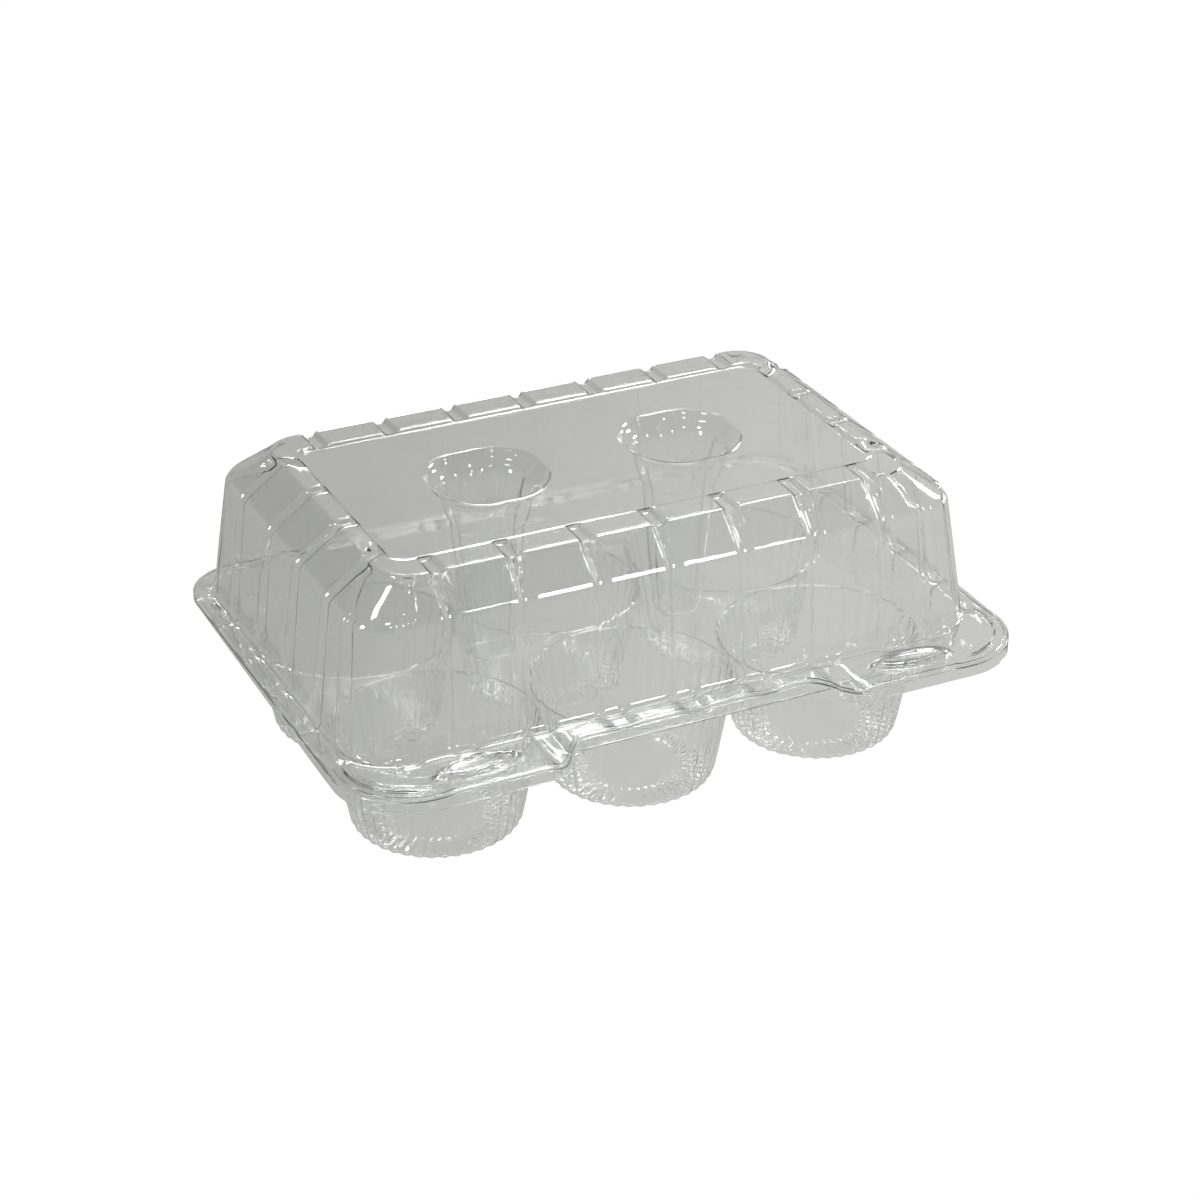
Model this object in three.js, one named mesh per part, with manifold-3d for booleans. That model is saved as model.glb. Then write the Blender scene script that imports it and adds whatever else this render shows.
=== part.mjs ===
// Clear hinged clamshell pack with six round cups, millimetres, +Z up.
// Origin: centre of the footprint, on the plane that the six cups stand on.
// +X runs along the long side, -Y is the opening side with the two wide lobes,
// +Y is the hinge side.
import * as THREE from "three";
import { mergeVertices } from "three/addons/utils/BufferGeometryUtils.js";
import Module from "manifold-3d";

const wasm = await Module();
wasm.setup();

// ---- driving dimensions ----
const T = 0.8; // sheet thickness of the solids
const GAP = 0.3; // clearance between neighbouring solids
const YH = 8.8; // y of the hood's centre line; the lobes make the footprint lopsided

const FLANGE_L = 122.2; // half length of the flange
const FLANGE_BACK = 78.0; // back edge of the flange, from the hood's centre line
const FLANGE_LOBE = 98.3; // front edge at the two lobes
const FLANGE_SET = 85.0; // front edge of the set-back middle
const LOBE_IN = 41.6; // where the S-step leaves the set-back edge
const LOBE_OUT = 54.6; // where the S-step reaches the lobe edge
const R_FRONT = 24.7; // corner radius at the lobes
const R_BACK = 20.5; // corner radius at the hinge side

const Z_DECK = 36.0; // top of the recessed deck that carries the cups
const Z_TRAY = 47.9; // top of the tray flange
const Z_LID = 49.0; // top of the lid flange
const Z_SKIRT = 43.8; // lower edge of the tray skirt
const Z_AXIS = 48.05; // crease, midway between the two flanges
const Y_AXIS = 81.0; // crease, from the hood's centre line
const HINGE_HALF = 96.0; // half length of the hinge strip

const WELL_TOP = [115.0, 75.2, 19]; // half length, half width, corner radius
const WELL_BOT = [113.4, 73.8, 18];

const PITCH = 72.4; // cup pitch, both ways
const CUP_R_TOP = 34.6; // outer radius at the mouth
const CUP_R_BOT = 28.4; // outer radius just above the foot
const CUP_R_FOOT = 26.8; // radius of the flat that the cup stands on
const CUP_SIDES = 36;

const WALL_BOT = [115.0, 75.3, 19]; // hood wall at the flange
const WALL_TOP = [109.5, 68.4, 16]; // hood wall at the shoulder
const Z_SHOULDER = 92.9;
const BEVEL_TOP = [97.4, 59.5, 13]; // upper end of the sloped shoulder
const Z_BEVEL = 101.7;
const RAIL_IN = [87.4, 44.2, 8]; // inner edge of the raised rail
const Z_RAIL = 104.0;
const Z_PANEL = 102.9; // top of the panel inside the rail
const RIB_PITCH = 26.0; // spacing of the ribs round the hood
const RIB_W = 5.0; // width of a notch in the rail

const POST_X = PITCH / 2;
const POST_R = 21.6; // mouth of a hollow post
const POST_PROFILE = [[POST_R, Z_PANEL], [18.6, 101.2], [16.6, 97.5], [14.4, 88], [12.2, 75], [10.2, 60], [8.6, 45], [7.8, 37.1]];
const POST_SIDES = 32;

const SNAP_X = 79.5, SNAP_Y = -87.0; // centre of each snap, from the hood's centre line
const SNAP = [15.5, 4.6]; // half length and half width of the hole for a snap

// ---- geometry helpers ----
function material(color, roughness = 0.12, metalness = 0) {
  return new THREE.MeshStandardMaterial({ color, roughness, metalness, transparent: true, opacity: 0.45 });
}

// Rounded rectangle, counter-clockwise, centred on the hood's centre line.
function rect([a, b, r], steps = 6) {
  const pts = [];
  for (const [sx, sy, from] of [[1, -1, -90], [1, 1, 0], [-1, 1, 90], [-1, -1, 180]])
    for (let i = 0; i <= steps; i++) {
      const t = ((from + (90 * i) / steps) * Math.PI) / 180;
      pts.push([sx * (a - r) + r * Math.cos(t), YH + sy * (b - r) + r * Math.sin(t)]);
    }
  return pts;
}

// Outline of both flanges, drawn in by d: a long rectangle with two wide front
// lobes joined to a set-back middle by S-shaped steps.
function outline(d = 0) {
  const L = FLANGE_L - d, back = FLANGE_BACK - d, lobe = FLANGE_LOBE - d, set = FLANGE_SET - d;
  const rf = R_FRONT - d, rb = R_BACK - d, half = [];
  const step = 8;
  for (let i = 0; i <= step; i++) {
    // S-step from the set-back edge out to the lobe
    const t = i / step, s = t * t * (3 - 2 * t);
    half.push([LOBE_IN + d * 0.7 + (LOBE_OUT - LOBE_IN) * t, -set - (lobe - set) * s]);
  }
  for (let i = 0; i <= 8; i++) {
    const t = (-90 + (90 * i) / 8) * (Math.PI / 180);
    half.push([L - rf + rf * Math.cos(t), -lobe + rf + rf * Math.sin(t)]);
  }
  for (let i = 0; i <= 8; i++) {
    const t = ((90 * i) / 8) * (Math.PI / 180);
    half.push([L - rb + rb * Math.cos(t), back - rb + rb * Math.sin(t)]);
  }
  const all = [...half, ...half.map(([x, y]) => [-x, y]).reverse()];
  return all.map(([x, y]) => [x, y + YH]);
}

// Closed solid through a stack of rings with equal point counts.
function stack(rings) {
  const n = rings[0].pts.length, pos = [], idx = [];
  for (const { pts, z } of rings) for (const [x, y] of pts) pos.push(x, y, z);
  for (let k = 0; k + 1 < rings.length; k++)
    for (let i = 0; i < n; i++) {
      const j = (i + 1) % n, a = k * n + i, b = k * n + j, c = a + n, e = b + n;
      idx.push(a, b, e, a, e, c);
    }
  const cap = (k, flip) => {
    const tri = THREE.ShapeUtils.triangulateShape(rings[k].pts.map(([x, y]) => new THREE.Vector2(x, y)), []);
    for (const [a, b, c] of tri) flip ? idx.push(k * n + c, k * n + b, k * n + a) : idx.push(k * n + a, k * n + b, k * n + c);
  };
  cap(0, true);
  cap(rings.length - 1, false);
  return new THREE.BufferGeometry()
    .setAttribute("position", new THREE.Float32BufferAttribute(pos, 3))
    .setIndex(idx);
}

const plate = (pts, z0, z1) => stack([{ pts, z: z0 }, { pts, z: z1 }]);

function block(x0, x1, y0, y1, z0, z1) {
  return new THREE.BoxGeometry(x1 - x0, y1 - y0, z1 - z0).translate((x0 + x1) / 2, (y0 + y1) / 2, (z0 + z1) / 2);
}

// Solid of revolution about the vertical through (x, y).
function turned(profile, sides, x, y) {
  return new THREE.LatheGeometry(profile.map(([r, z]) => new THREE.Vector2(r, z)), sides)
    .rotateX(Math.PI / 2)
    .translate(x, y, 0);
}

function solid(geometry) {
  const g = geometry.clone();
  for (const name of Object.keys(g.attributes)) if (name !== "position") g.deleteAttribute(name);
  const m = mergeVertices(g, 1e-4);
  const s = new wasm.Manifold(
    new wasm.Mesh({ numProp: 3, vertProperties: new Float32Array(m.attributes.position.array), triVerts: new Uint32Array(m.index.array) }),
  );
  if (s.volume() < 0) throw new Error("a helper solid is inside out");
  return s;
}

function surface(s) {
  const m = s.getMesh();
  const g = new THREE.BufferGeometry()
    .setAttribute("position", new THREE.BufferAttribute(new Float32Array(m.vertProperties), 3))
    .setIndex(new THREE.BufferAttribute(new Uint32Array(m.triVerts), 1));
  g.computeVertexNormals();
  return g;
}

const group = new THREE.Group();
const tray = new THREE.Group(), lid = new THREE.Group();
group.add(tray, lid);

function add(parent, name, geometry, color) {
  const mesh = new THREE.Mesh(geometry, material(color));
  mesh.name = name;
  parent.add(mesh);
  return mesh;
}

const grow = ([a, b, r], d) => [a + d, b + d, Math.max(0.5, r + d)];

// ---- tray ----
// Flange with its turned-down skirt. The skirt stops short of the hinge side.
{
  const flange = solid(plate(outline(), Z_TRAY - T, Z_TRAY)).add(
    solid(plate(outline(), Z_SKIRT, Z_TRAY - T / 2))
      .subtract(solid(plate(outline(T + 0.2), Z_SKIRT - 1, Z_TRAY)))
      .subtract(solid(block(-200, 200, YH + 70, YH + 100, Z_SKIRT - 2, Z_TRAY - T))),
  );
  const hole = solid(plate(rect(grow(WELL_TOP, GAP)), Z_TRAY - 3, Z_TRAY + 1));
  add(tray, "tray_flange", surface(flange.subtract(hole)), 0xb4b7ae);
}

// Well: the wall that drops from the flange, and the deck with six cup holes.
{
  const lip = grow(WELL_TOP, 0);
  let well = solid(stack([{ pts: rect(WELL_BOT), z: Z_DECK - T }, { pts: rect(lip), z: Z_TRAY }])).subtract(
    solid(stack([{ pts: rect(grow(WELL_BOT, -T)), z: Z_DECK }, { pts: rect(grow(lip, -T + 0.12)), z: Z_TRAY + 1 }])),
  );
  for (const i of [-1, 0, 1])
    for (const j of [-0.5, 0.5]) {
      const r = CUP_R_TOP + GAP;
      well = well.subtract(solid(turned([[0, Z_DECK - 3], [r, Z_DECK - 3], [r, Z_DECK + 3], [0, Z_DECK + 3]], CUP_SIDES, i * PITCH, YH + j * PITCH)));
    }
  add(tray, "tray_well", surface(well), 0xb0b3aa);
}

// Cups: tapered, with a rounded foot and a flat base that the pack stands on.
const cupProfile = [
  [0, 0], [CUP_R_FOOT - 1.5, 0], [CUP_R_FOOT, 0.25], [CUP_R_BOT, 1.9],
  [CUP_R_TOP, Z_DECK], [CUP_R_TOP - T, Z_DECK],
  [CUP_R_BOT - T, 2.4], [CUP_R_FOOT - T, 1.05], [CUP_R_FOOT - 2.3, T], [0, T],
];
for (const [row, j] of [["front", -0.5], ["back", 0.5]])
  for (const [col, i] of [["left", -1], ["middle", 0], ["right", 1]])
    add(tray, `cup_${row}_${col}`, turned(cupProfile, CUP_SIDES, i * PITCH, YH + j * PITCH), 0xaeb2a8);

// ---- lid ----
{
  const hole = solid(plate(rect(grow(WALL_BOT, GAP)), Z_LID - 3, Z_LID + 1));
  let flange = solid(plate(outline(), Z_LID - T, Z_LID)).subtract(hole);
  for (const s of [-1, 1]) {
    const [a, b] = SNAP, cut = rect([a, b, b - 0.2]).map(([x, y]) => [x + s * SNAP_X, y + SNAP_Y]);
    flange = flange.subtract(solid(plate(cut, Z_LID - 3, Z_LID + 3)));
  }
  add(lid, "lid_flange", surface(flange), 0xb6b9b0);
}

{
  const wall = solid(stack([{ pts: rect(WALL_BOT), z: Z_LID - T }, { pts: rect(WALL_TOP), z: Z_SHOULDER }])).subtract(
    solid(stack([{ pts: rect(grow(WALL_BOT, -T + 0.1)), z: Z_LID - T - 1 }, { pts: rect(grow(WALL_TOP, -T - 0.1)), z: Z_SHOULDER + 1 }])),
  );
  add(lid, "lid_wall", surface(wall), 0xb2b5ac);
}

// Sloped shoulder between the wall and the rail.
{
  const lo = Z_SHOULDER + GAP;
  const shoulder = solid(stack([{ pts: rect(WALL_TOP), z: lo }, { pts: rect(BEVEL_TOP), z: Z_BEVEL }])).subtract(
    solid(stack([{ pts: rect(grow(WALL_TOP, -T - 0.35)), z: lo - 0.6 }, { pts: rect(grow(BEVEL_TOP, -T - 0.45)), z: Z_BEVEL + 0.6 }])),
  );
  add(lid, "lid_shoulder", surface(shoulder), 0xa6a79e);
}

// Top: a rail cut by a notch at every rib, round a flat panel with two mouths.
{
  const lo = Z_BEVEL + GAP;
  let top = solid(stack([{ pts: rect(grow(BEVEL_TOP, -0.4)), z: lo }, { pts: rect(grow(BEVEL_TOP, -3)), z: Z_RAIL }]));
  top = top.subtract(solid(stack([{ pts: rect(grow(RAIL_IN, -1)), z: Z_PANEL }, { pts: rect(RAIL_IN), z: Z_RAIL + 1 }])));
  const under = solid(stack([{ pts: rect(grow(BEVEL_TOP, -0.4 - T)), z: lo - 0.5 }, { pts: rect(grow(BEVEL_TOP, -3 - T)), z: Z_RAIL - T }]));
  const core = solid(stack([{ pts: rect(grow(RAIL_IN, 0.2)), z: Z_PANEL - T }, { pts: rect(grow(RAIL_IN, 0.2)), z: Z_RAIL + 1 }]));
  top = top.subtract(under.subtract(core));
  const notch = (x, y, dx, dy) => block(x - dx, x + dx, YH + y - dy, YH + y + dy, Z_RAIL - 0.45, Z_RAIL + 2);
  const midY = (RAIL_IN[1] + BEVEL_TOP[1]) / 2, midX = (RAIL_IN[0] + BEVEL_TOP[0]) / 2;
  for (const k of [-3, -2, -1, 0, 1, 2, 3]) for (const s of [-1, 1]) top = top.subtract(solid(notch(k * RIB_PITCH, s * midY, RIB_W / 2, 10)));
  for (const k of [-1.5, -0.5, 0.5, 1.5]) for (const s of [-1, 1]) top = top.subtract(solid(notch(s * midX, k * RIB_PITCH, 8, RIB_W / 2)));
  for (const s of [-1, 1]) {
    const r = POST_R + GAP;
    top = top.subtract(solid(turned([[0, Z_PANEL - 3], [r, Z_PANEL - 3], [r, Z_PANEL + 3], [0, Z_PANEL + 3]], POST_SIDES, s * POST_X, YH)));
  }
  add(lid, "lid_top", surface(top), 0xb0b2a8);
}

// Hollow posts: open at the panel, closed at the foot, just clear of the deck.
for (const [side, s] of [["left", -1], ["right", 1]]) {
  const foot = Z_DECK + GAP;
  const outer = [...POST_PROFILE].reverse();
  const profile = [[0, foot], [6.8, foot], ...outer, [POST_R - T - 0.4, Z_PANEL], ...POST_PROFILE.slice(1).map(([r, z]) => [r - T, z + 0.25]), [6.2, foot + T], [0, foot + T]];
  add(lid, `post_${side}`, turned(profile, POST_SIDES, s * POST_X, YH), 0xabb0a6);
}

// Snaps: a stud on each tray lobe, inside a hollow cap over the hole in the lid flange.
for (const [side, s] of [["left", -1], ["right", 1]]) {
  const at = (a, b) => rect([a, b, b - 0.2]).map(([x, y]) => [x + s * SNAP_X, y + SNAP_Y]);
  const [a, b] = SNAP;
  add(tray, `snap_stud_${side}`, stack([{ pts: at(a - 1.8, b - 1.8), z: Z_TRAY + GAP }, { pts: at(a - 2.6, b - 2.4), z: Z_LID + 1.2 }]), 0xb2b5ac);
  const cap = solid(stack([{ pts: at(a - 0.3, b - 0.3), z: Z_LID - 0.4 }, { pts: at(a - 1.3, b - 1.3), z: Z_LID + 2.3 }])).subtract(
    solid(stack([{ pts: at(a - 1.1, b - 1.1), z: Z_LID - 0.9 }, { pts: at(a - 2.0, b - 1.9), z: Z_LID + 1.6 }])),
  );
  add(lid, `snap_cap_${side}`, surface(cap), 0xb2b5ac);
}

// Hinge: two leaves that meet at the crease.
const leaf = (z) => block(-HINGE_HALF, HINGE_HALF, YH + FLANGE_BACK + GAP, YH + Y_AXIS - GAP, z - T, z);
add(tray, "hinge_leaf_tray", leaf(Z_TRAY), 0xa4a79d);
add(lid, "hinge_leaf_lid", leaf(Z_LID), 0xa4a79d);

export default group;
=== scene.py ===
import math

import bpy
import numpy as np
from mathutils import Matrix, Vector
from mathutils.geometry import delaunay_2d_cdt


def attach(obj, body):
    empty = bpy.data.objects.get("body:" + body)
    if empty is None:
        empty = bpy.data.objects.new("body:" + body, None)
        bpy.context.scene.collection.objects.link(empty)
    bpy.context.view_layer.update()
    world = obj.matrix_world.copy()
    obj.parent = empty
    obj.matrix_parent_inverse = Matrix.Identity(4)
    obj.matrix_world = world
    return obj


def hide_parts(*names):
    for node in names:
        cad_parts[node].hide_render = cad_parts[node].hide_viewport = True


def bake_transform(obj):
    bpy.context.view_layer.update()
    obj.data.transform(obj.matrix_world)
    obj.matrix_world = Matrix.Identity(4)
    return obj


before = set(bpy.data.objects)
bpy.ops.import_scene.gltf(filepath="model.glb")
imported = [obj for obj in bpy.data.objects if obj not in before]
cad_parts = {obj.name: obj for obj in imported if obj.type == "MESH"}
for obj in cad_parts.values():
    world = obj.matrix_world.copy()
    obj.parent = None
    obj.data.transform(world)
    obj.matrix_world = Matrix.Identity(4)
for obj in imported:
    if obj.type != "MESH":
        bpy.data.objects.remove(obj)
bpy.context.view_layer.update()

MM = 0.001
YH = 8.8  # y of the hood's centre line, mm
SHEET = 0.45  # thickness of the formed sheet, mm

# ---------------------------------------------------------------- materials
def clear_plastic(name, tint, dark, rough, bump_scale, bump_strength, haze=0.0):
    """Clear formed sheet: refracts, darkens where it is seen edge on, with the faint waviness and the fine die lines of formed sheet."""
    m = bpy.data.materials.new(name)
    m.use_nodes = True
    nt = m.node_tree
    nt.nodes.clear()
    out = nt.nodes.new("ShaderNodeOutputMaterial")
    p = nt.nodes.new("ShaderNodeBsdfPrincipled")
    p.inputs["IOR"].default_value = 1.52
    p.inputs["Transmission Weight"].default_value = 1.0
    nt.links.new(p.outputs["BSDF"], out.inputs["Surface"])
    geo = nt.nodes.new("ShaderNodeTexCoord")
    big = nt.nodes.new("ShaderNodeTexNoise")
    big.inputs["Scale"].default_value = bump_scale
    big.inputs["Detail"].default_value = 2.0
    nt.links.new(geo.outputs["Object"], big.inputs["Vector"])
    bump = nt.nodes.new("ShaderNodeBump")
    bump.inputs["Strength"].default_value = bump_strength
    bump.inputs["Distance"].default_value = 0.0006
    nt.links.new(big.outputs["Fac"], bump.inputs["Height"])
    nt.links.new(bump.outputs["Normal"], p.inputs["Normal"])
    fine = nt.nodes.new("ShaderNodeTexNoise")
    fine.inputs["Scale"].default_value = 420.0
    fine.inputs["Detail"].default_value = 3.0
    nt.links.new(geo.outputs["Object"], fine.inputs["Vector"])
    rr = nt.nodes.new("ShaderNodeMapRange")
    rr.inputs["From Min"].default_value = 0.3
    rr.inputs["From Max"].default_value = 0.7
    rr.inputs["To Min"].default_value = rough * 0.6
    rr.inputs["To Max"].default_value = rough * 1.5
    nt.links.new(fine.outputs["Fac"], rr.inputs["Value"])
    nt.links.new(rr.outputs["Result"], p.inputs["Roughness"])
    lw = nt.nodes.new("ShaderNodeLayerWeight")
    lw.inputs["Blend"].default_value = 0.35
    ramp = nt.nodes.new("ShaderNodeValToRGB")
    e = ramp.color_ramp.elements
    e[0].position, e[0].color = 0.6, (*tint, 1)
    e[1].position, e[1].color = 0.95, (*dark, 1)
    nt.links.new(lw.outputs["Facing"], ramp.inputs["Fac"])
    nt.links.new(ramp.outputs["Color"], p.inputs["Base Color"])
    return m


PET = clear_plastic("clear_sheet", (0.988, 0.99, 0.984), (0.945, 0.95, 0.935), 0.04, 45.0, 0.45)


def cut_edge(name, color):
    """The sheared edge of the sheet, which is frosted."""
    m = bpy.data.materials.new(name)
    m.use_nodes = True
    p = m.node_tree.nodes["Principled BSDF"]
    p.inputs["Base Color"].default_value = (*color, 1)
    p.inputs["Roughness"].default_value = 0.42
    p.inputs["IOR"].default_value = 1.52
    return m


CUT = cut_edge("cut_edge", (0.66, 0.67, 0.65))

# ---------------------------------------------------------------- outlines
# A ring is (half length, half width, corner radius). Every ring round the pack has the same columns, so
# that a rib keeps its place from the flange, up the wall and over the shoulder.
SL0, SS0, R0 = 96.0, 56.3, 19.0  # straight half lengths and corner radius at the foot of the wall
RIB_PITCH = 26.0
LONG_RIBS = [-78.0, -52.0, -26.0, 0.0, 26.0, 52.0, 78.0]
SHORT_RIBS = [-39.5, -13.2, 13.2, 39.5]


def squeeze(v, full, now, thr):
    """Position along a straight side: unchanged up to thr, then drawn in so that full lands on now."""
    a = abs(v)
    if a > thr:
        a = thr + (a - thr) / (full - thr) * (now - thr)
    return math.copysign(a, v)


def ring_point(kind, val, ring):
    """Point of a ring and its outward normal. Kinds 0, 2, 4, 6 are the front, right, back and left sides, and 1, 3, 5, 7 the corners after them."""
    a, b, r = ring
    if kind in (0, 4):
        s = -1 if kind == 0 else 1
        return (squeeze(val, SL0, a - r, min(81.5, 0.97 * (a - r))), s * b, 0.0, float(s))
    if kind in (2, 6):
        s = 1 if kind == 2 else -1
        return (s * a, squeeze(val, SS0, b - r, min(41.5, 0.9 * (b - r))), float(s), 0.0)
    sx, sy = {1: (1, -1), 3: (1, 1), 5: (-1, 1), 7: (-1, -1)}[kind]
    t = math.radians(val)
    return (sx * (a - r) + r * math.cos(t), sy * (b - r) + r * math.sin(t), math.cos(t), math.sin(t))


def spread(points, lo, hi, gap):
    """Sorted positions from lo to hi, none closer than gap."""
    out = [lo]
    for p in sorted(points):
        if p - out[-1] >= gap and hi - p >= gap * 0.6:
            out.append(p)
    return out + [hi]


def side_positions(ribs, full, fine, rest):
    pts = []
    for c in ribs:
        pts += [c + fine * k for k in range(-7, 8)]
    edges = [-full] + [c for c in ribs] + [full]
    for p, q in zip(edges, edges[1:]):
        lo, hi = p + 7 * fine, q - 7 * fine
        n = max(1, int((hi - lo) / rest))
        pts += [lo + (hi - lo) * k / n for k in range(n + 1)]
    return [p for p in pts if -full < p < full]


FINE = 0.62
long_extra = [s * v for s in (-1, 1) for v in np.arange(60.0, 96.0, 1.25)]
short_extra = [s * v for s in (-1, 1) for v in np.arange(44.5, 56.3, 1.3)]
LONG = spread(side_positions(LONG_RIBS, SL0, FINE, 2.6) + long_extra, -SL0, SL0, 0.5)
SHORT = spread(side_positions(SHORT_RIBS, SS0, FINE, 3.2) + short_extra, -SS0, SS0, 0.5)
CORNER = [3.0 * k for k in range(1, 30)]

COLUMNS = []
for kind, first in ((0, 0), (1, -90), (2, 0), (3, 0), (4, 0), (5, 90), (6, 0), (7, 180)):
    if kind == 0:
        COLUMNS += [(0, v) for v in LONG]
    elif kind == 4:
        COLUMNS += [(4, v) for v in reversed(LONG)]
    elif kind == 2:
        COLUMNS += [(2, v) for v in SHORT]
    elif kind == 6:
        COLUMNS += [(6, v) for v in reversed(SHORT)]
    else:
        COLUMNS += [(kind, first + c) for c in CORNER]
NCOL = len(COLUMNS)


def corner_place(corner, s):
    """Column at distance s past the point where the short side ends and the corner begins, along the foot of the wall."""
    arc = R0 * math.pi / 2
    sx, sy = {1: (1, -1), 3: (1, 1), 5: (-1, 1), 7: (-1, -1)}[corner]
    if s < 0:
        return (2 if sx > 0 else 6, sy * (SS0 + s))
    if s > arc:
        return (0 if sy < 0 else 4, sx * (SL0 - (s - arc)))
    off = math.degrees(s / R0)  # from the short side towards the long side
    start = {1: 0, 3: 0, 5: 180, 7: 180}[corner]
    turn = {1: -1, 3: 1, 5: -1, 7: 1}[corner]
    return (corner, start + turn * off)


def lerp(a, b, t):
    return a + (b - a) * t


def smooth(t):
    t = min(1.0, max(0.0, t))
    return t * t * (3 - 2 * t)


def rib_places(h):
    """Where each rib's centre lies at height h: 0 at the wall's foot, 1 at its top, 2 at the shoulder's top, 3 on the rail."""
    out = [((0, x), "L", x) for x in LONG_RIBS] + [((4, x), "L", x) for x in LONG_RIBS]
    out += [((2, y), "S", y) for y in SHORT_RIBS] + [((6, y), "S", y) for y in SHORT_RIBS]
    k = min(1.0, max(0.0, h - 1))
    for c in (1, 3, 5, 7):
        out.append((corner_place(c, lerp(5.0, -8.3, k)), "C5", c))
        out.append((corner_place(c, lerp(29.6, 22.9, k)), "C6", c))
    return out


def groove(d, w, e):
    return smooth((w / 2 + e - d) / (2 * e))


# ---- flange outline ----
FLANGE_L, FLANGE_BACK, FLANGE_LOBE, FLANGE_SET = 122.2, 78.0, 98.3, 85.0
LOBE_IN, LOBE_OUT, R_FRONT, R_BACK = 41.6, 54.6, 24.7, 20.5


def outline(d=0.0):
    L, back, lobe, st = FLANGE_L - d, FLANGE_BACK - d, FLANGE_LOBE - d, FLANGE_SET - d
    rf, rb, half = R_FRONT - d, R_BACK - d, []
    for i in range(25):
        t = i / 24
        s = t * t * (3 - 2 * t)
        half.append((LOBE_IN + d * 0.7 + (LOBE_OUT - LOBE_IN) * t, -st - (lobe - st) * s))
    for i in range(33):
        t = math.radians(-90 + 90 * i / 32)
        half.append((L - rf + rf * math.cos(t), -lobe + rf + rf * math.sin(t)))
    for i in range(33):
        t = math.radians(90 * i / 32)
        half.append((L - rb + rb * math.cos(t), back - rb + rb * math.sin(t)))
    return half + [(-x, y) for x, y in reversed(half)]


OUTLINE = outline(0.03)


def ray_length(x, y, nx, ny):
    """Distance from a point inside the outline to it, along a direction."""
    best = 1e9
    n = len(OUTLINE)
    for i in range(n):
        (x1, y1), (x2, y2) = OUTLINE[i], OUTLINE[(i + 1) % n]
        ex, ey = x2 - x1, y2 - y1
        den = nx * ey - ny * ex
        if abs(den) < 1e-9:
            continue
        t = ((x1 - x) * ey - (y1 - y) * ex) / den
        u = ((x1 - x) * ny - (y1 - y) * nx) / den
        if t > 0.01 and -1e-6 <= u <= 1 + 1e-6:
            best = min(best, t)
    return best


# ---------------------------------------------------------------- mesh helpers
def grid_normals(P):
    """Unit normals of a grid of points, rings by columns, columns closed."""
    du = np.roll(P, -1, 1) - np.roll(P, 1, 1)
    dv = np.empty_like(P)
    dv[1:-1] = P[2:] - P[:-2]
    dv[0] = P[1] - P[0]
    dv[-1] = P[-1] - P[-2]
    n = np.cross(du, dv)
    return n / np.maximum(np.linalg.norm(n, axis=2, keepdims=True), 1e-12)


def vertex_normals(V, F):
    """Area-weighted vertex normals of a mixed triangle and quad mesh."""
    N = np.zeros_like(V)
    quads = np.array([f for f in F if len(f) == 4], int).reshape(-1, 4)
    tris = np.array([f for f in F if len(f) == 3], int).reshape(-1, 3)
    for q in (quads, tris):
        if not len(q):
            continue
        p = V[q]
        n = np.cross(p[:, 2] - p[:, 0], p[:, -1] - p[:, 1]) if q.shape[1] == 4 else np.cross(p[:, 1] - p[:, 0], p[:, 2] - p[:, 0])
        for k in range(q.shape[1]):
            np.add.at(N, q[:, k], n)
    return N / np.maximum(np.linalg.norm(N, axis=1, keepdims=True), 1e-12)


def shell(name, V, F, thickness=SHEET, material=None, angle=45, edge=None):
    """A closed thin shell from an open sheet: V in mm, faces counter-clockwise seen from the outside; the thickness goes inwards. edge is the material of the cut rim."""
    V = np.asarray(V, float)
    N = vertex_normals(V, F)
    inner = V - N * thickness
    n = len(V)
    count = {}
    for f in F:
        for a, b in zip(f, list(f[1:]) + [f[0]]):
            count[(a, b)] = 1
    rim = [(a, b) for a, b in count if (b, a) not in count]
    faces = [tuple(f) for f in F] + [tuple(n + i for i in reversed(f)) for f in F]
    faces += [(b, a, a + n, b + n) for a, b in rim]
    verts = np.vstack([V, inner]) * MM
    me = bpy.data.meshes.new(name)
    me.from_pydata(verts.tolist(), [], faces)
    me.update()
    me.validate()
    me.polygons.foreach_set("use_smooth", [True] * len(me.polygons))
    me.set_sharp_from_angle(angle=math.radians(angle))
    ob = bpy.data.objects.new(name, me)
    bpy.context.scene.collection.objects.link(ob)
    if material:
        me.materials.append(material)
    if edge:
        me.materials.append(edge)
        me.polygons.foreach_set("material_index", [0] * (len(me.polygons) - len(rim)) + [1] * len(rim))
    return ob


def strip(rings, ncol, start=0):
    """Quads between successive rings of ncol points, columns closed."""
    return [
        (start + k * ncol + i, start + k * ncol + (i + 1) % ncol, start + (k + 1) * ncol + (i + 1) % ncol, start + (k + 1) * ncol + i)
        for k in range(rings - 1)
        for i in range(ncol)
    ]


ARC = 5


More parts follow.
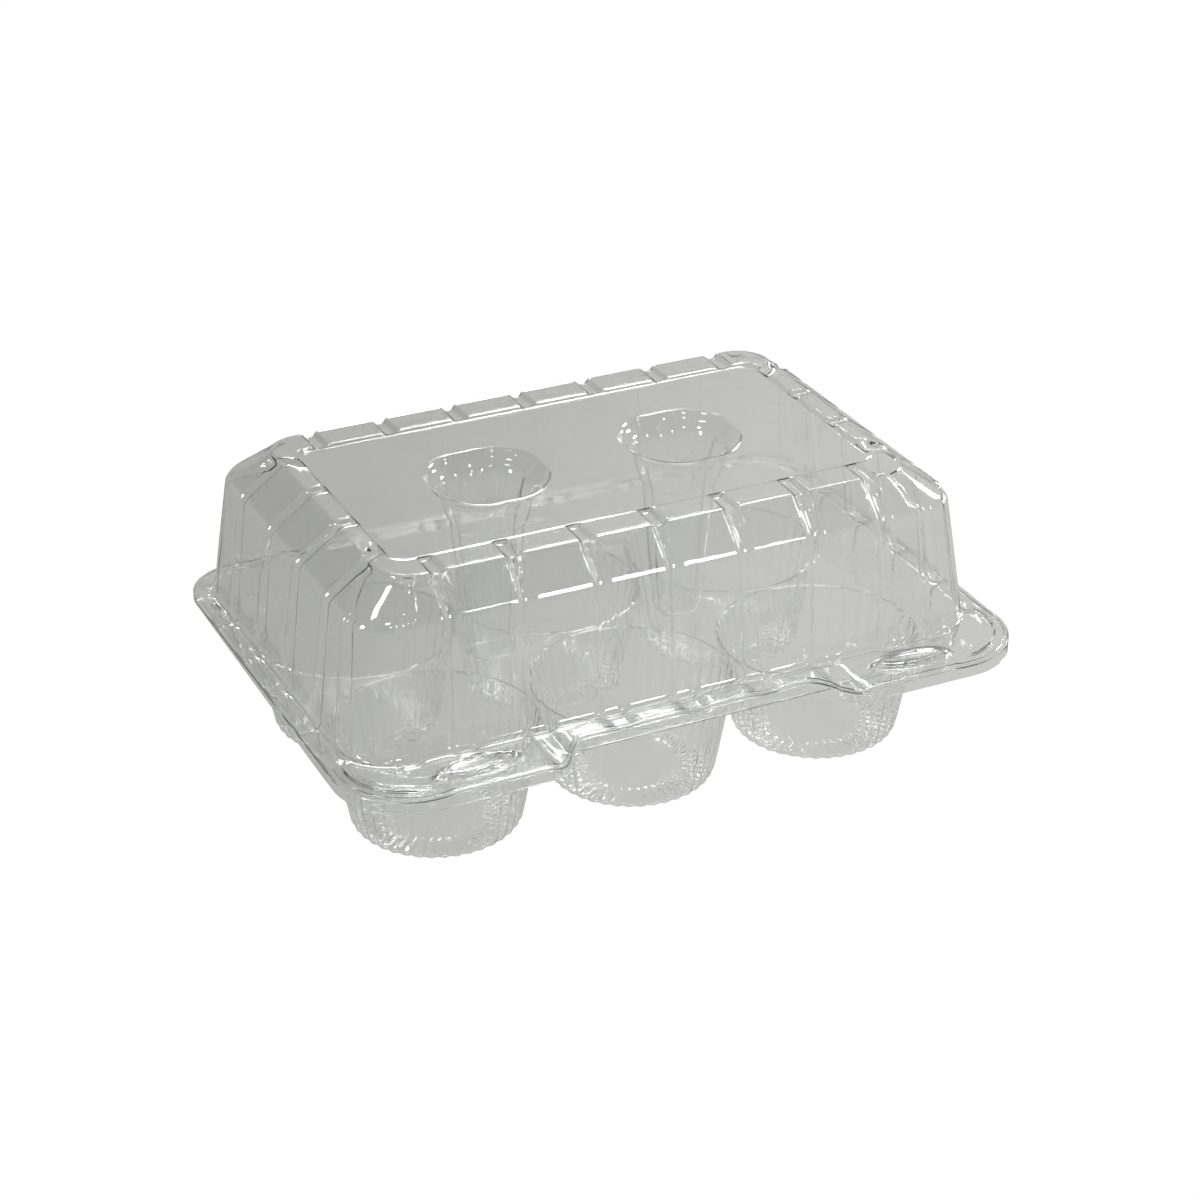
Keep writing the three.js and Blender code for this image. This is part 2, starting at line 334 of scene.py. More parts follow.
def fillet_path(keys, radii, spans):
    """Points along a polyline of key points with each inner corner rounded. radii and spans give the cut-back and the number of points per corner and per straight."""
    pts, tags = [], []
    keys = [np.array(k, float) for k in keys]
    prev = keys[0]
    for j in range(1, len(keys)):
        k = keys[j]
        d = (k - prev) / max(np.linalg.norm(k - prev), 1e-9)
        if j < len(keys) - 1:
            nxt = keys[j + 1]
            e = (nxt - k) / max(np.linalg.norm(nxt - k), 1e-9)
            cut = min(radii[j - 1], 0.48 * np.linalg.norm(nxt - k), 0.9 * np.linalg.norm(k - prev))
            a, b = k - d * cut, k + e * cut
        else:
            a, b, cut = k, None, 0
        m = spans[j - 1]
        for i in range(m + 1):
            if i == 0 and pts:
                continue
            pts.append(prev + (a - prev) * i / m)
            tags.append(j - 1 + i / m)
        if b is not None:
            n = ARC
            for i in range(1, n + 1):
                t = i / n
                pts.append(a * (1 - t) ** 2 + k * 2 * t * (1 - t) + b * t * t)
                tags.append(j - 0.0 + 0.0001 * i)
            prev = b
    return pts, tags


# ---------------------------------------------------------------- flange surface
def foot_cut(length):
    """How far the fillet at the foot of the wall reaches over the flange."""
    return min(2.6, 0.3 * length)


def flange_steps(length, count):
    """Distances from the wall's foot out to the edge, finer near both ends."""
    k = min(1.0, length / 6.0)
    c = foot_cut(length)
    inner = [c, c + 0.9 * k]
    outer = [2.9 * k, 2.4 * k, 2.05 * k, 1.75 * k, 1.45 * k, 1.1 * k, 0.6 * k, 0.25 * k, 0.0]
    lo, hi = inner[-1], length - outer[0]
    mid = [lo + (hi - lo) * (i + 1) / (count + 1) for i in range(count)]
    return inner + mid + [length - o for o in outer]


FLANGE_RINGS = 21


def boat(x, y):
    """Height of the long raised snap on each front lobe, from 0 to 1, and of the small dish inside it."""
    u = (abs(x) - 79.5) / 15.6
    if abs(u) >= 1:
        return 0.0, 0.0
    w = 5.6 * (1 - abs(u) ** 2.2) ** 0.75
    v = (y + 87.0) + 0.9 * u
    rise = smooth((w - abs(v)) / 1.35)
    ui = u / 0.62
    wi = 2.6 * max(0.0, 1 - abs(ui) ** 2.4) ** 0.6 if abs(ui) < 1 else 0.0
    return rise, smooth((wi - abs(v)) / 0.9) if wi > 0 else 0.0


def flange_height(x, y, out, length, lid):
    """Height of the flange's top surface over its deck level at distance out from the wall's foot."""
    k = min(1.0, length / 6.0)
    edge = length - out
    h = -0.38 * smooth((1.75 * k - edge) / (0.6 * k)) if lid else 0.0  # the edge steps down all round
    # a low bead that follows the rounded corners, inside the edge
    rise, dish = boat(x, y) if y < -78 else (0.0, 0.0)
    h += rise * (1.45 if lid else 1.35) - dish * 0.7
    if length > 9:
        d1, d2 = abs(edge - 5.2), abs(edge - 8.0)
        corner = smooth((abs(x) - 95) / 6.0) * smooth((-y - 60) / 10.0)
        h += corner * (0.42 * smooth((1.0 - d1) / 0.9) + 0.3 * smooth((1.0 - d2) / 0.9))
    if lid and y < -75 and length > 9:
        # between the lobes the deck rises a little from the edge towards the wall
        h += 0.048 * max(0.0, edge - 1.75) * smooth((58 - abs(x)) / 5.0) * smooth((out - 2.6) / 2.0)
    # a small locating nub near the back corners
    nub = math.hypot(abs(x) - 117.4, (y - 49.9) / 1.7)
    h += 0.75 * smooth((2.2 - nub) / 1.3)
    return h


def flange_groove(col, d, place, name, out, length):
    """How deep a rib's groove is across the flange deck."""
    width = 7.2
    depth = 0.72 if name == "L" else 0.45
    if name == "L" and place[0] == 0 and abs(place[1]) > 70:
        depth *= smooth((5.0 - out) / 2.5)  # the snap takes the place of this groove on the lobe
    edge = length - out
    depth *= 0.35 + 0.65 * smooth((edge - 0.2) / 2.0)
    return depth * groove(d, width, 1.0)


# rays from the foot of the wall to the edge are the same for both flanges
WALL_FOOT = (115.0, 75.3, 19.0)
FOOT = [ring_point(k, v, WALL_FOOT) for k, v in COLUMNS]
REACH = [ray_length(*p) for p in FOOT]
PLACES0 = rib_places(0.0)
FOOT_RIBS = [(place, name, ring_point(place[0], place[1], WALL_FOOT)) for place, name, _ in PLACES0]


def flange_rings(z, lid):
    """Rings from the edge in to the foot of the wall, as an array rings by columns by 3."""
    cols = []
    for c, (x, y, nx, ny), L in zip(COLUMNS, FOOT, REACH):
        near = [(p, n, math.hypot(q[0] - x, q[1] - y)) for p, n, q in FOOT_RIBS if abs(q[0] - x) < 9 and abs(q[1] - y) < 9]
        pts = []
        for out in reversed(flange_steps(L, FLANGE_RINGS)):
            px, py = x + nx * out, y + ny * out
            h = flange_height(px, py, out, L, lid)
            for p, n, d in near:
                h -= flange_groove(c, d, p, n, out, L)
            pts.append((px, py, z + h))
        cols.append(pts)
    return np.array(cols).transpose(1, 0, 2)


# ---------------------------------------------------------------- lid
Z_LID, Z_SHOULDER, Z_BEVEL, Z_RAIL, Z_PANEL = 49.0, 92.9, 101.7, 103.97, 102.75
LID_KEYS = [
    ((115.0, 75.3, 19.0), Z_LID),
    ((109.5, 68.4, 16.0), Z_SHOULDER),
    ((97.4, 59.5, 13.0), Z_BEVEL),
    ((95.0, 57.1, 11.4), Z_RAIL),
    ((88.9, 45.9, 6.6), Z_RAIL),
    ((87.2, 44.2, 5.4), Z_PANEL),
    ((85.6, 42.6, 4.4), Z_PANEL),
]
LID_RADII = [0.0, 2.7, 1.3, 1.2, 1.0, 1.0]
LID_SPANS = [16, 7, 2, 4, 1, 1]


def shaped(keys, radii, spans, rib_width, rib_depth, places_at):
    """Rings of the wall part: rounded profile per column, then the ribs pressed in along the surface's normal."""
    cols, tags = [], None
    for (kind, val), reach in zip(COLUMNS, REACH):
        first_cut = foot_cut(reach)
        pts = []
        for ring, z in keys:
            x, y, nx, ny = ring_point(kind, val, ring)
            pts.append((x, y, z))
        x, y, nx, ny = ring_point(kind, val, keys[0][0])
        pts = [(x + nx * first_cut, y + ny * first_cut, keys[0][1])] + pts
        got, tags = fillet_path(pts, [first_cut * 0.9] + radii, [1] + spans)
        cols.append(got)
    P = np.array(cols).transpose(1, 0, 2)
    N = grid_normals(P)
    depth = np.zeros(P.shape[:2])
    for j, tag in enumerate(tags):
        h = tag - 1.0  # 0 at the wall's foot
        hh = max(0.0, h)
        w, e = rib_width(h), 1.05 if h < 0.93 else (1.15 if h < 2.05 else 0.7)
        dep = rib_depth(h)
        if dep <= 0:
            continue
        ringxy = P[j, :, :2]
        for place, name, _ in places_at(hh):
            # the rib's centre on this ring: between the two columns that hold it
            c = centre_on(place, ringxy)
            fade = 1.0 - smooth((h - 2.1) / 0.9) if name in ("C5", "C6") else 1.0  # the corner ribs end at the rail
            d = np.hypot(ringxy[:, 0] - c[0], ringxy[:, 1] - c[1])
            near = d < w / 2 + e
            if near.any():
                t = np.clip((w / 2 + e - d[near]) / (2 * e), 0, 1)
                g = t * t * (3 - 2 * t) * dep * fade
                depth[j, near] = np.maximum(depth[j, near], g)
    return P - N * depth[:, :, None], tags


COLUMN_KEY = {}
for i, (kind, val) in enumerate(COLUMNS):
    COLUMN_KEY.setdefault(kind, []).append((val, i))
for kind in COLUMN_KEY:
    COLUMN_KEY[kind].sort()


def centre_on(place, ringxy):
    """Point of a ring at a column place that may fall between two columns."""
    kind, val = place
    row = COLUMN_KEY[kind]
    vals = [v for v, _ in row]
    k = int(np.searchsorted(vals, val))
    if k <= 0:
        return ringxy[row[0][1]]
    if k >= len(row):
        return ringxy[row[-1][1]]
    (v0, i0), (v1, i1) = row[k - 1], row[k]
    t = (val - v0) / (v1 - v0)
    return ringxy[i0] * (1 - t) + ringxy[i1] * t


def lid_rib_width(h):
    if h < 0:
        return 7.2
    if h < 1:
        return lerp(7.2, 4.4, h ** 0.7)
    if h < 2:
        return 3.9
    return 4.3


def lid_rib_depth(h):
    if h < 0:
        return 0.72
    if h < 1:
        return lerp(0.65, 0.85, smooth(h * 2)) if h < 0.9 else lerp(0.85, 1.2, (h - 0.9) / 0.1)
    if h < 2:
        return lerp(1.2, 1.35, h - 1)
    if h < 4:
        return 1.55
    return lerp(1.55, 0.0, min(1.0, (h - 4) * 1.6))


def panel_height(x, y):
    """The panel is crowned: lowest along the rail and highest at the mouths of the posts."""
    u, v = min(1.0, abs(x) / 85.6), min(1.0, abs(y) / 42.6)
    return Z_PANEL + 0.95 * (1 - u ** 4) * (1 - v ** 2)


POST_X = 36.2


def mouth(phi):
    """Radius of a post's mouth: four wide lobes between four pinches."""
    near = (math.degrees(phi) + 45) % 90 - 45
    return 22.7 - 1.2 * math.exp(-((near / 17.0) ** 2))


MOUTH_COLS = 128


def triangulate(boundary, holes, inside):
    """Triangles of a flat region with holes. Returns points (x, y) and faces, the boundary's points first, then each hole's."""
    pts = [Vector(p) for p in boundary]
    faces_in = [list(range(len(boundary)))]
    at = len(pts)
    for h in holes:
        pts += [Vector(p) for p in h]
        faces_in.append(list(reversed(range(at, at + len(h)))))
        at += len(h)
    pts += [Vector(p) for p in inside]
    edges = [(f[i], f[(i + 1) % len(f)]) for f in faces_in for i in range(len(f))]
    out = delaunay_2d_cdt(pts, edges, [], 0, 1e-6)
    verts, _, tris, orig = out[0], out[1], out[2], out[3]
    back = {}
    for i, o in enumerate(orig):
        for k in o:
            back[k] = i
    xy = np.array([(v.x, v.y) for v in verts])
    T = np.array(tris, int)
    c = xy[T].mean(1)

    def within(points, poly):
        poly = np.array(poly)
        inside_ = np.zeros(len(points), bool)
        x, y = points[:, 0], points[:, 1]
        j = len(poly) - 1
        for i in range(len(poly)):
            xi, yi, xj, yj = *poly[i], *poly[j]
            hit = ((yi > y) != (yj > y)) & (x < (xj - xi) * (y - yi) / ((yj - yi) if yj != yi else 1e-12) + xi)
            inside_ ^= hit
            j = i
        return inside_

    keep = within(c, boundary)
    for h in holes:
        keep &= ~within(c, h)
    T = T[keep]
    p = xy[T]
    area = (p[:, 1, 0] - p[:, 0, 0]) * (p[:, 2, 1] - p[:, 0, 1]) - (p[:, 1, 1] - p[:, 0, 1]) * (p[:, 2, 0] - p[:, 0, 0])
    T[area < 0] = T[area < 0][:, ::-1]
    return xy, T, back


def grid_inside(boundary_box, step, avoid):
    x0, x1, y0, y1 = boundary_box
    out = []
    nx, ny = int((x1 - x0) / step), int((y1 - y0) / step)
    for j in range(ny + 1):
        for i in range(nx + 1):
            x = x0 + (x1 - x0) * i / nx + (0.5 * step if j % 2 else 0)
            y = y0 + (y1 - y0) * j / ny
            if x < x1 and avoid(x, y):
                out.append((x, y))
    return out


def weld(P, V2, T2, back, nb):
    """Joins a ring grid P (rings by columns) to a triangulated region whose first nb points are P's last ring."""
    rings, ncol = P.shape[:2]
    V = [tuple(p) for p in P.reshape(-1, 3)]
    base = (rings - 1) * ncol
    index = {}
    for k in range(nb):
        index[back[k]] = base + k
    for i, v in enumerate(V2):
        if i not in index:
            index[i] = len(V)
            V.append(tuple(v))
    F = strip(rings, ncol)
    F += [tuple(index[i] for i in t) for t in T2.tolist()]
    WELDED.clear()
    WELDED.update({k: index[i] for k, i in back.items()})
    return np.array(V), F


WELDED = {}


def hole_index(k):
    """Vertex of the last welded sheet for the k-th input point of its flat region."""
    return WELDED[k]


flange = flange_rings(Z_LID, True)
wall, tags = shaped(LID_KEYS, LID_RADII[1:], LID_SPANS, lid_rib_width, lid_rib_depth, rib_places)
# the flange's innermost ring and the wall's first ring are the same place
LID_GRID = np.concatenate([flange, wall[1:]], 0)

last = LID_GRID[-1]
holes = []
for s in (-1, 1):
    holes.append([(s * POST_X + mouth(2 * math.pi * i / MOUTH_COLS) * math.cos(2 * math.pi * i / MOUTH_COLS), mouth(2 * math.pi * i / MOUTH_COLS) * math.sin(2 * math.pi * i / MOUTH_COLS)) for i in range(MOUTH_COLS)])
inside = grid_inside((-84, 84, -41, 41), 3.4, lambda x, y: abs(x) < 83.5 and abs(y) < 41 and all(math.hypot(x - s * POST_X, y) > 24.9 for s in (-1, 1)))
xy, T, back = triangulate([tuple(p[:2]) for p in last], holes, inside)
V2 = np.array([(x, y, panel_height(x, y)) for x, y in xy])
V, F = weld(LID_GRID, V2, T, back, NCOL)

# ---- posts: the panel runs on down into two hollow posts ----
POST = [  # radius of the lobes, depth of the pinches between them, height: a bowl, then a shoulder, then the tube
    (20.7, 1.3, 102.2), (20.1, 1.5, 101.2), (19.2, 1.6, 100.5), (18.0, 1.7, 99.9), (16.9, 1.8, 99.2), (16.2, 1.9, 98.2),
    (15.7, 1.9, 96.8), (15.1, 1.9, 94.6), (14.5, 1.8, 92.0), (13.9, 1.7, 89.6), (13.5, 1.6, 88.2), (12.9, 1.5, 87.3),
    (12.5, 1.3, 86.8), (12.2, 1.2, 85.2), (11.9, 1.2, 81.0), (11.3, 1.1, 75.0), (10.6, 1.0, 67.0), (9.9, 0.9, 58.0),
    (9.2, 0.7, 49.0), (8.5, 0.6, 42.0), (8.2, 0.5, 39.2),
]


def post_rings(s):
    """Rings of one post from the mouth's edge down to the closed foot; the first is the edge of the hole in the panel."""
    ang = [2 * math.pi * i / MOUTH_COLS for i in range(MOUTH_COLS)]
    pinch = [math.exp(-((((math.degrees(a) + 45) % 90 - 45) / 14.0) ** 2)) for a in ang]
    r0 = [mouth(a) for a in ang]
    z0 = [panel_height(s * POST_X + r * math.cos(a), r * math.sin(a)) for r, a in zip(r0, ang)]
    rings = [list(zip(r0, z0))]
    first = POST[0]
    for t in (0.2, 0.4, 0.6, 0.8):
        ring = []
        for r, z, p, a in zip(r0, z0, pinch, ang):
            r1, z1 = first[0] - first[1] * p, first[2]
            r = r1 + (r - r1) * (1 - 0.6 * smooth((0.1 - math.sin(a)) / 0.8))  # a tighter edge on the front side
            c = (r1 + (r - r1) * 0.42, z)
            ring.append((
                r * (1 - t) ** 2 + c[0] * 2 * t * (1 - t) + r1 * t * t,
                z * (1 - t) ** 2 + c[1] * 2 * t * (1 - t) + z1 * t * t,
            ))
        rings.append(ring)
    for r, a, z in POST:
        rings.append([(r - 1.35 * a * p, z) for p in pinch])
    for f in range(1, 6):
        t = f / 5 * math.pi / 2
        rings.append([(8.1 - 0.5 * p - 1.6 * (1 - math.cos(t)), 38.9 - 1.95 * math.sin(t)) for p in pinch])
    for q in (0.7, 0.35):
        rings.append([((6.5 - 0.5 * p) * q, 36.95) for p in pinch])
    return [[(s * POST_X + r * math.cos(a), r * math.sin(a), z) for (r, z), a in zip(ring, ang)] for ring in rings]


V = [tuple(v) for v in V]
for side, s in enumerate((-1, 1)):
    rings = post_rings(s)
    ids = []
    for k, ring in enumerate(rings):
        if k == 0:
            first = NCOL + side * MOUTH_COLS
            ids.append([hole_index(first + i) for i in range(MOUTH_COLS)])
        else:
            ids.append(list(range(len(V), len(V) + MOUTH_COLS)))
            V += ring
    V.append((s * POST_X, 0.0, 36.95))
    n = MOUTH_COLS
    for a, b in zip(ids, ids[1:]):
        F += [(a[i], a[(i + 1) % n], b[(i + 1) % n], b[i]) for i in range(n)]
    F += [(ids[-1][i], ids[-1][(i + 1) % n], len(V) - 1) for i in range(n)]
V = np.array(V)
V[:, 1] += YH



lid = shell("lid_sheet", V, F, material=PET, edge=CUT)
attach(lid, "lid")
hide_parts("lid_flange", "lid_wall", "lid_shoulder", "lid_top", "post_left", "post_right", "snap_cap_left", "snap_cap_right")

# ---------------------------------------------------------------- tray
Z_TRAY, Z_DECK = 47.9, 36.0
TRAY_KEYS = [
    ((114.4, 74.7, 18.5), Z_TRAY),
    ((112.9, 73.3, 17.3), Z_DECK),
    ((111.2, 72.15, 16.2), Z_DECK),
]
TRAY_RADII = [1.0]
TRAY_SPANS = [7, 1]


def tray_rib_width(h):
    return lerp(7.2, 6.4, min(1.0, max(0.0, h)))


def tray_rib_depth(h):
    return 0.72 if h < 0 else 0.8 * smooth((1.0 - h) / 0.15)


def skirt_low(y):
    """Height of the skirt's lower edge: full at the front, thinning towards the hinge."""
    return float(np.interp(y, [-60.0, 40.0, 62.0, 70.0], [43.8, 46.2, 46.7, 46.95]))


def skirt_rings():
    cols = []
    for (x, y, nx, ny), L in zip(FOOT, REACH):
        k = min(1.0, L / 6.0)
        px, py = x + nx * L, y + ny * L
        low = skirt_low(py)
        top = Z_TRAY - 0.55
        pts = [(px, py, lerp(low, top, t)) for t in (0.0, 0.12, 0.35, 0.65, 0.9, 1.0)]
        for inn, z in ((0.06, Z_TRAY - 0.34), (0.2, Z_TRAY - 0.15), (0.42, Z_TRAY - 0.04)):
            pts.append((x + nx * (L - inn * k), y + ny * (L - inn * k), z))
        cols.append(pts)
    return np.array(cols).transpose(1, 0, 2)


tray_flange = flange_rings(Z_TRAY, False)
tray_wall, tray_tags = shaped(TRAY_KEYS, TRAY_RADII, TRAY_SPANS, tray_rib_width, tray_rib_depth, rib_places)
TRAY_GRID = np.concatenate([skirt_rings(), tray_flange[2:], tray_wall[1:]], 0)

CUP_R = 35.4
CUP_COLS = 320
PLEATS = 40
cups = {
    "cup_front_left": (-72.4, -36.2), "cup_front_middle": (0.0, -36.2), "cup_front_right": (72.4, -36.2),
    "cup_back_left": (-72.4, 36.2), "cup_back_middle": (0.0, 36.2), "cup_back_right": (72.4, 36.2),
}
HOLE_COLS = 160
holes = [[(cx + CUP_R * math.cos(2 * math.pi * i / HOLE_COLS), cy + CUP_R * math.sin(2 * math.pi * i / HOLE_COLS)) for i in range(HOLE_COLS)] for cx, cy in cups.values()]
inside = grid_inside((-109, 109, -70, 70), 5.0, lambda x, y: all(math.hypot(x - cx, y - cy) > 37.5 for cx, cy in cups.values()) and not (abs(x) > 96 and abs(y) > 58))
xy, T, back = triangulate([tuple(p[:2]) for p in TRAY_GRID[-1]], holes, inside)
V2 = np.array([(x, y, Z_DECK) for x, y in xy])
V, F = weld(TRAY_GRID, V2, T, back, NCOL)
V = np.array(V)
V[:, 1] += YH
tray = shell("tray_sheet", V, F, material=PET)
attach(tray, "tray")
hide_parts("tray_flange", "tray_well", "snap_stud_left", "snap_stud_right")

# ---------------------------------------------------------------- cups
CUP_PROFILE = [  # radius and height of the sheet's inner face
    (35.4, 36.0), (34.95, 35.93), (34.55, 35.7), (34.3, 35.3), (34.15, 34.7), (33.9, 33.2), (33.45, 30.7), (32.9, 27.6),
    (32.3, 24.2), (31.7, 20.6), (31.05, 17.0), (30.4, 13.4), (29.8, 10.0), (29.25, 7.0), (28.8, 4.6), (28.5, 3.2),
    (28.15, 2.2), (27.6, 1.4), (26.9, 0.88), (26.1, 0.62), (25.1, 0.52), (24.0, 0.52), (22.8, 0.62), (21.4, 0.8),
    (20.0, 1.0), (18.6, 1.2), (17.3, 1.36), (15.8, 1.42), (12.0, 1.45), (8.0, 1.45), (4.0, 1.45),
]


def pleat(a):
    """A pleat's wave from -1 to 1: nearly a zigzag, with its tips rounded."""
    t = (a * PLEATS / (2 * math.pi)) % 1.0
    tri = 4 * abs(t - 0.5) - 1
    return 0.65 * tri + 0.35 * math.cos(2 * math.pi * t)


def cup_mesh():
    rings = []
    for r, z in CUP_PROFILE:
        if z > 35.9:
            wall_amp, floor_amp = 0.0, 0.0
        elif r > 25.5:
            wall_amp = float(np.interp(z, [0.5, 0.9, 2.2, 5, 17, 30, 34.5, 35.7, 36], [0.12, 0.26, 0.36, 0.38, 0.36, 0.34, 0.32, 0.24, 0]))
            floor_amp = 0.0
        else:
            wall_amp, floor_amp = 0.0, 0.0
        fl = math.exp(-(((r - 22.6) / 3.6) ** 2)) if r < 27.7 else 0.0
        ring = []
        for i in range(CUP_COLS):
            a = 2 * math.pi * i / CUP_COLS
            w = pleat(a)
            big = math.exp(-((((math.degrees(a)) % 90 - 45) / 5.0) ** 2))
            rr = r + wall_amp * w
            zz = z + 0.42 * fl * (1 - w) + 0.5 * fl * big
            ring.append((rr * math.cos(a), rr * math.sin(a), zz))
        rings.append(ring)
    V = [p for ring in rings for p in ring]
    F = strip(len(rings), CUP_COLS)
    V.append((0, 0, CUP_PROFILE[-1][1]))
    at = (len(rings) - 1) * CUP_COLS
    F += [(at + i, at + (i + 1) % CUP_COLS, len(V) - 1) for i in range(CUP_COLS)]
    return np.array(V, float), F


V, F = cup_mesh()
first = None
for name, (cx, cy) in cups.items():
    if first is None:
        ob = shell(name + "_sheet", V, F, material=PET, angle=60)
        first = ob
    else:
        ob = bpy.data.objects.new(name + "_sheet", first.data)
        bpy.context.scene.collection.objects.link(ob)
    ob.location = (cx * MM, (cy + YH) * MM, 0.0)
    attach(ob, "tray")
    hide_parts(name)

# ---------------------------------------------------------------- hinge
web = []
for i in range(0, 97):
    x = -96 + 2 * i
    ring = []
    for k in range(0, 17):
        t = math.pi * k / 16
        c = math.cos(t)
        ring.append((x, YH + 77.95 + 2.5 * max(0.0, math.sin(t)) ** 0.5, 48.02 - 0.56 * math.copysign(abs(c) ** 0.5, c)))
    web.append(ring)
W = np.array(web)
n, m = W.shape[:2]
V = W.reshape(-1, 3)
F = [(i * m + k, i * m + k + 1, (i + 1) * m + k + 1, (i + 1) * m + k) for i in range(n - 1) for k in range(m - 1)]
hinge = shell("hinge_web", V, F, thickness=0.3, material=PET)
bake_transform(hinge)
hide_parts("hinge_leaf_tray", "hinge_leaf_lid")

# ---------------------------------------------------------------- stage
def emission_stage(name, seen, left, right):
    """A glowing floor: white where the camera sees it directly, and a mid grey for everything that the clear sheet
    bends or mirrors, with painted shade that makes that grey darker at the left and back.
    """
    m = bpy.data.materials.new(name)
    m.use_nodes = True
    nt = m.node_tree
    nt.nodes.clear()
    out = nt.nodes.new("ShaderNodeOutputMaterial")
    mix = nt.nodes.new("ShaderNodeMixShader")
    lp = nt.nodes.new("ShaderNodeLightPath")
    a, b = nt.nodes.new("ShaderNodeEmission"), nt.nodes.new("ShaderNodeEmission")
    geo = nt.nodes.new("ShaderNodeTexCoord")
    dot = nt.nodes.new("ShaderNodeVectorMath")
    dot.operation = "DOT_PRODUCT"
    dot.inputs[1].default_value = (0.75, -0.66, 0.0)
    nt.links.new(geo.outputs["Object"], dot.inputs[0])
    ramp = nt.nodes.new("ShaderNodeMapRange")
    ramp.interpolation_type = "SMOOTHSTEP"
    ramp.inputs["From Min"].default_value, ramp.inputs["From Max"].default_value = -0.17, 0.07
    nt.links.new(dot.outputs["Value"], ramp.inputs["Value"])
    col = nt.nodes.new("ShaderNodeMix")
    col.data_type = "RGBA"
    col.inputs["A"].default_value = (*left, 1)
    col.inputs["B"].default_value = (*right, 1)
    nt.links.new(ramp.outputs["Result"], col.inputs["Factor"])
    nt.links.new(col.outputs["Result"], a.inputs["Color"])
    b.inputs["Color"].default_value = (*seen, 1)
    nt.links.new(lp.outputs["Is Camera Ray"], mix.inputs[0])
    nt.links.new(a.outputs[0], mix.inputs[1])
    nt.links.new(b.outputs[0], mix.inputs[2])
    nt.links.new(mix.outputs[0], out.inputs["Surface"])
    return m


# the floor glows though it is no lamp: even white to the camera, and grey with painted shade at the left and back where
# it is seen through the sheet
bpy.ops.mesh.primitive_plane_add(size=6.0, location=(0, 0, -0.0002))
floor = bpy.context.object
floor.name = "floor"
floor.data.materials.append(emission_stage("floor_glow_with_painted_shade", (1.02, 1.02, 1.02), (0.405, 0.41, 0.388), (0.575, 0.58, 0.56)))

world = bpy.data.worlds.new("studio")
bpy.context.scene.world = world
world.use_nodes = True
nt = world.node_tree
nt.nodes.clear()
out = nt.nodes.new("ShaderNodeOutputWorld")
mix = nt.nodes.new("ShaderNodeMixShader")
lp = nt.nodes.new("ShaderNodeLightPath")
felt, seen = nt.nodes.new("ShaderNodeBackground"), nt.nodes.new("ShaderNodeBackground")
seen.inputs["Color"].default_value = (1.02, 1.02, 1.02, 1)
tc = nt.nodes.new("ShaderNodeTexCoord")
sep = nt.nodes.new("ShaderNodeVectorMath")
sep.operation = "DOT_PRODUCT"
sep.inputs[1].default_value = (0.75, 0.66, 0.0)
nt.links.new(tc.outputs["Generated"], sep.inputs[0])
side = nt.nodes.new("ShaderNodeMapRange")
side.interpolation_type = "SMOOTHSTEP"
side.inputs["From Min"].default_value, side.inputs["From Max"].default_value = 0.25, 0.85
side.inputs["To Min"].default_value, side.inputs["To Max"].default_value = 0.07, 0.60
up = nt.nodes.new("ShaderNodeSeparateXYZ")
nt.links.new(tc.outputs["Generated"], up.inputs[0])
rise = nt.nodes.new("ShaderNodeMapRange")
rise.interpolation_type = "SMOOTHSTEP"
rise.inputs["From Min"].default_value, rise.inputs["From Max"].default_value = 0.12, 0.42
nt.links.new(up.outputs["Z"], rise.inputs["Value"])
level = nt.nodes.new("ShaderNodeMix")
level.inputs["A"].default_value = 0.46  # a lighter band round the horizon
nt.links.new(rise.outputs["Result"], level.inputs["Factor"])
nt.links.new(side.outputs["Result"], level.inputs["B"])
nt.links.new(sep.outputs["Value"], side.inputs["Value"])
nt.links.new(level.outputs["Result"], felt.inputs["Color"])
nt.links.new(lp.outputs["Is Camera Ray"], mix.inputs[0])
nt.links.new(felt.outputs[0], mix.inputs[1])
nt.links.new(seen.outputs[0], mix.inputs[2])
nt.links.new(mix.outputs[0], out.inputs["Surface"])


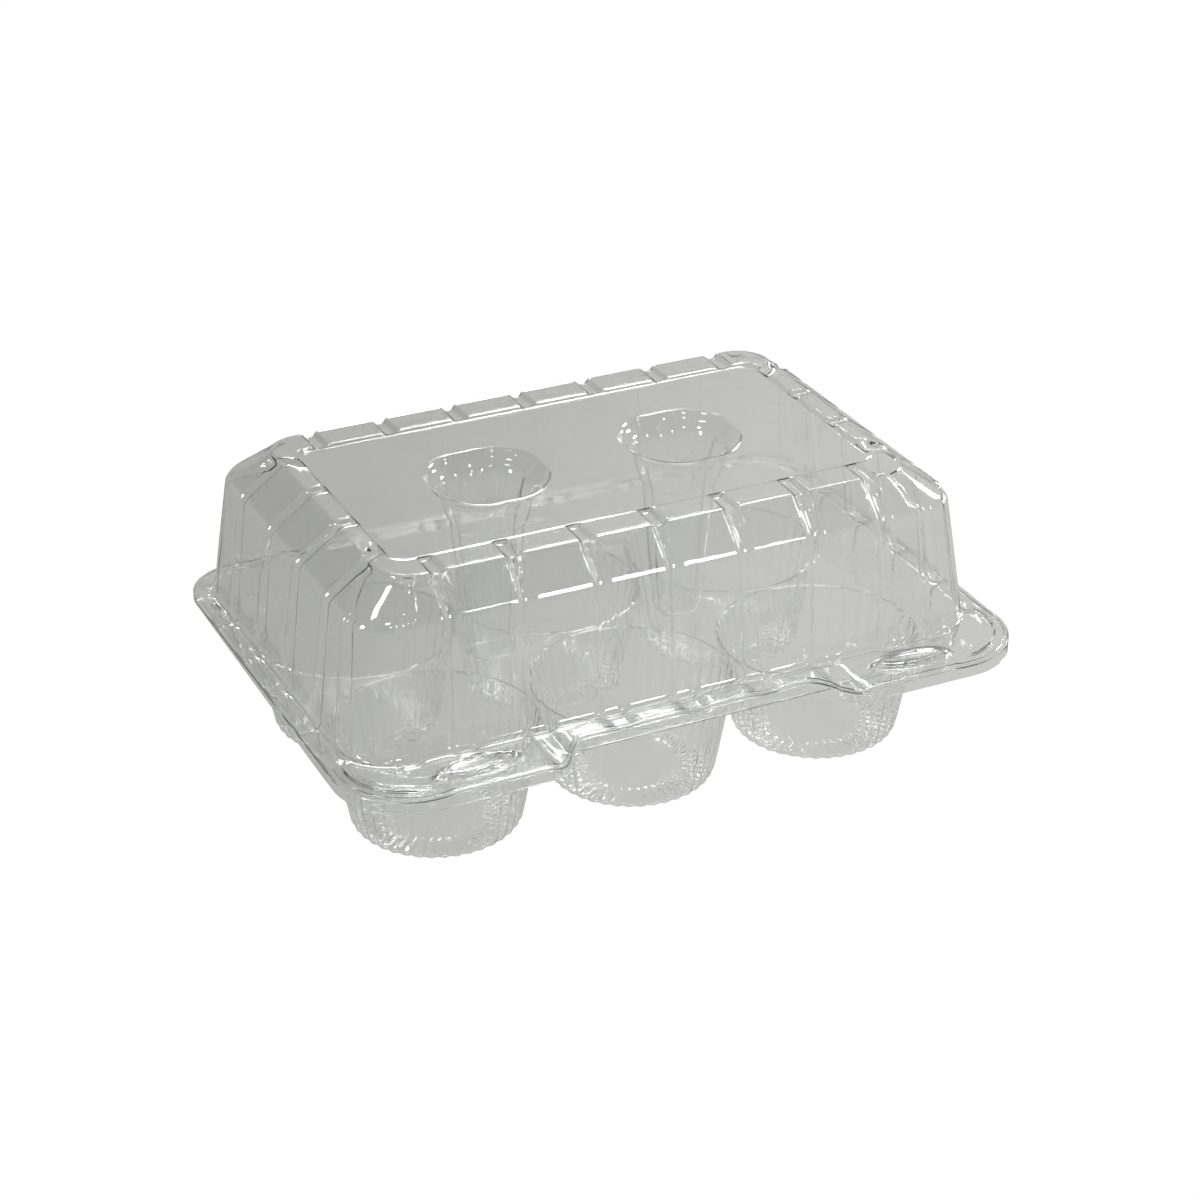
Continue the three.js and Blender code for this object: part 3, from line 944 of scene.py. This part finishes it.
def softbox(name, az, el, dist, size, power, color=(1, 1, 1), target=(0.0, 0.0, 0.06)):
    """A rectangular light; az is measured from -Y towards +X, el up from the floor."""
    a, e = math.radians(az), math.radians(el)
    d = Vector((math.sin(a) * math.cos(e), -math.cos(a) * math.cos(e), math.sin(e)))
    data = bpy.data.lights.new(name, "AREA")
    data.shape = "RECTANGLE"
    data.size, data.size_y = size
    data.energy = power
    data.color = color
    ob = bpy.data.objects.new(name, data)
    ob.location = Vector(target) + d * dist
    ob.rotation_euler = d.to_track_quat("Z", "Y").to_euler()
    bpy.context.scene.collection.objects.link(ob)
    return ob


# radiance is power / (pi * area); a clear sheet mirrors about a twentieth of it
softbox("front_right", 24.2, 25, 1.5, (0.21, 0.36), 7.7)
softbox("overhead", 128.7, 61, 1.4, (0.44, 0.30), 9.0)
softbox("back_low", 161, 9, 1.7, (0.24, 0.21), 2.1)
softbox("left_tall", -83, 26, 1.5, (0.16, 0.5), 6.8)
softbox("spark_right", 58, 46, 1.5, (0.09, 0.09), 1.7)
softbox("spark_left", -22, 42, 1.5, (0.07, 0.07), 0.9)
softbox("deck_strip", 153.9, 36.0, 1.5, (0.24, 0.06), 0.6, target=(-0.018, -0.0725, 0.049))
softbox("right_low", 104.4, 2.5, 1.5, (0.45, 0.22), 3.6, target=(0.0, -0.055, 0.097))
softbox("right_high", 102, 28, 1.5, (0.2, 0.3), 5.0)
softbox("front_left_high", -35, 62, 1.5, (0.14, 0.14), 3.0)
softbox("top_left", -110, 66, 1.5, (0.16, 0.12), 2.5)

# ---------------------------------------------------------------- camera and colour
cam_data = bpy.data.cameras.new("camera")
cam_data.lens = 87.89
cam_data.sensor_width = 36
cam = bpy.data.objects.new("camera", cam_data)
cam.location = (-0.38622, -0.80375, 0.52786)
cam.rotation_euler = Vector((0.38347, 0.79457, -0.47078)).to_track_quat("-Z", "Y").to_euler()
bpy.context.scene.collection.objects.link(cam)
scene = bpy.context.scene
scene.camera = cam
scene.view_settings.view_transform = "Standard"
scene.cycles.max_bounces = 40
scene.cycles.transmission_bounces = 40
scene.cycles.transparent_max_bounces = 48
scene.cycles.glossy_bounces = 8
scene.cycles.caustics_reflective = True
scene.cycles.caustics_refractive = True
